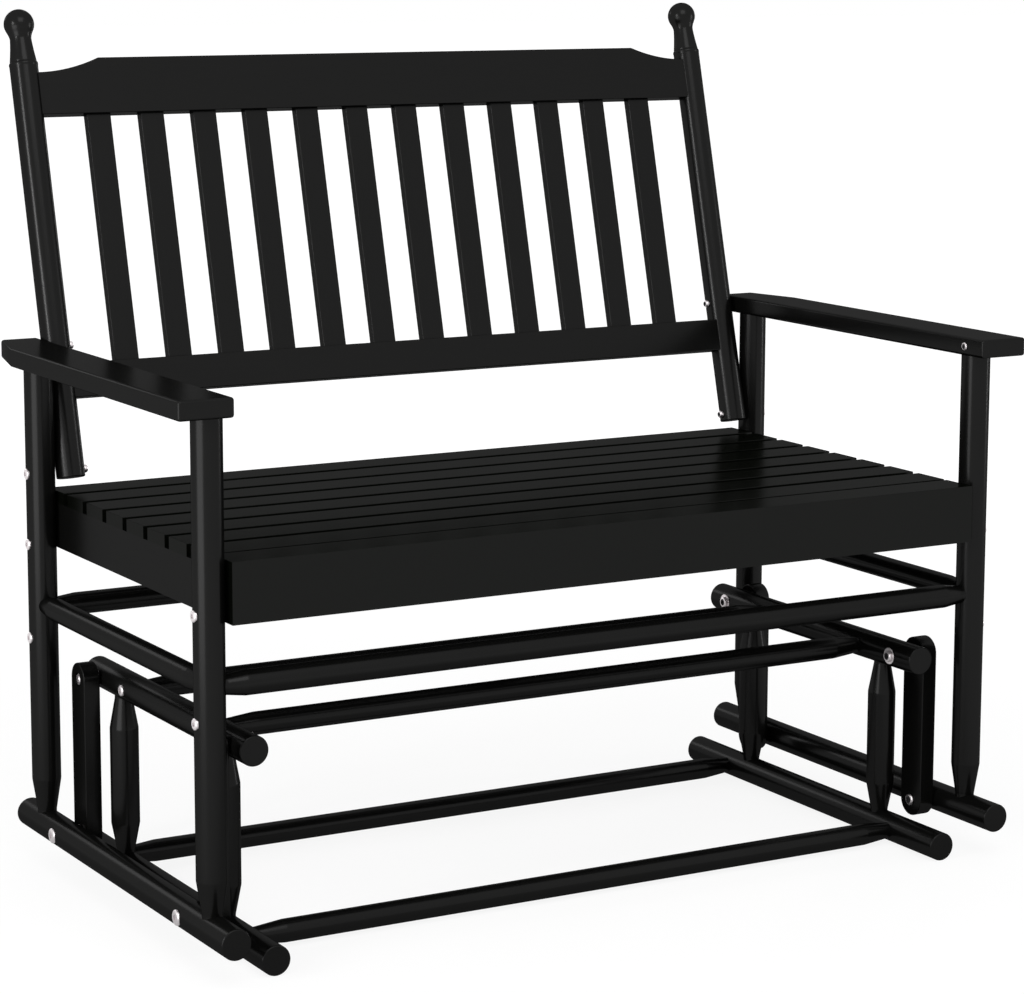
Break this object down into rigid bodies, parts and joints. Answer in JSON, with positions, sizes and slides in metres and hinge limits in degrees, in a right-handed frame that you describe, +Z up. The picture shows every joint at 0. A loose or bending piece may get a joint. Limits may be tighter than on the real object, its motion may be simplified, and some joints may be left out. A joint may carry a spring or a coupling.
{
  "type": "swing bench",
  "caption": "Two-seat slatted garden glider bench: a seat frame with arms and a leaning slatted back hangs by flat links from a low base and glides level.",
  "frame": {"origin": "on the floor, below the middle of the whole bench's box at rest", "axes": "+X along the seat towards the viewer's right, +Y from the front to the back, +Z up"},
  "size_m": [1.05, 0.656, 0.9686],
  "materials": {
    "frame_paint": "satin black paint",
    "seat_paint": "satin black paint over fine grain"
  },
  "bodies": {
    "base": {"base_low_rail_left": "frame_paint", "base_low_rail_right": "frame_paint", "base_top_rail_left": "frame_paint", "base_top_rail_right": "frame_paint", "base_post_front_left": "frame_paint", "base_post_front_right": "frame_paint", "base_post_rear_left": "frame_paint", "base_post_rear_right": "frame_paint", "low_cross_rail_front": "frame_paint", "low_cross_rail_rear": "frame_paint", "top_cross_rail_front": "frame_paint", "top_cross_rail_rear": "frame_paint"},
    "link_front_left": {"link_front_left": "frame_paint"},
    "link_front_right": {"link_front_right": "frame_paint"},
    "link_rear_left": {"link_rear_left": "frame_paint"},
    "link_rear_right": {"link_rear_right": "frame_paint"},
    "seat": {"seat_low_rail_left": "frame_paint", "seat_low_rail_right": "frame_paint", "leg_front_left": "frame_paint", "leg_front_right": "frame_paint", "leg_rear_left": "frame_paint", "leg_rear_right": "frame_paint", "armrest_left": "frame_paint", "armrest_right": "frame_paint", "side_rail_left": "frame_paint", "side_rail_right": "frame_paint", "stretcher_front": "frame_paint", "stretcher_rear": "frame_paint", "side_apron_left": "seat_paint", "side_apron_right": "seat_paint", "front_apron": "seat_paint", "rear_apron": "seat_paint", "seat_bearer": "frame_paint", "seat_slat_1": "seat_paint", "seat_slat_2": "seat_paint", "seat_slat_3": "seat_paint", "seat_slat_4": "seat_paint", "seat_slat_5": "seat_paint", "seat_slat_6": "seat_paint", "seat_slat_7": "seat_paint", "seat_slat_8": "seat_paint", "seat_slat_9": "seat_paint", "back_post_left": "frame_paint", "back_post_right": "frame_paint", "back_top_rail": "frame_paint", "back_low_rail": "frame_paint", "back_slat_1": "frame_paint", "back_slat_2": "frame_paint", "back_slat_3": "frame_paint", "back_slat_4": "frame_paint", "back_slat_5": "frame_paint", "back_slat_6": "frame_paint", "back_slat_7": "frame_paint", "back_slat_8": "frame_paint", "back_slat_9": "frame_paint", "back_slat_10": "frame_paint", "back_slat_11": "frame_paint", "back_slat_12": "frame_paint"}
  },
  "joints": [
    {"name": "glide", "type": "hinge", "parent": "base", "child": "link_front_left", "pos_m": [-0.45265, -0.214, 0.226], "axis": [1, 0, 0], "range_deg": [-15, 15]},
    {"name": "glide_front_right", "type": "hinge", "parent": "base", "child": "link_front_right", "pos_m": [0.45265, -0.214, 0.226], "axis": [1, 0, 0], "range_deg": [-15, 15]},
    {"name": "glide_rear_left", "type": "hinge", "parent": "base", "child": "link_rear_left", "pos_m": [-0.45265, 0.1321, 0.226], "axis": [1, 0, 0], "range_deg": [-15, 15]},
    {"name": "glide_rear_right", "type": "hinge", "parent": "base", "child": "link_rear_right", "pos_m": [0.45265, 0.1321, 0.226], "axis": [1, 0, 0], "range_deg": [-15, 15]},
    {"name": "seat_level", "type": "hinge", "parent": "link_front_left", "child": "seat", "pos_m": [-0.45265, -0.214, 0.0492], "axis": [1, 0, 0], "range_deg": [-15, 15]}
  ],
  "couplings": [
    {"joint": "glide_front_right", "follows": "glide", "ratio": 1},
    {"joint": "glide_rear_left", "follows": "glide", "ratio": 1},
    {"joint": "glide_rear_right", "follows": "glide", "ratio": 1},
    {"joint": "seat_level", "follows": "glide", "ratio": -1}
  ]
}
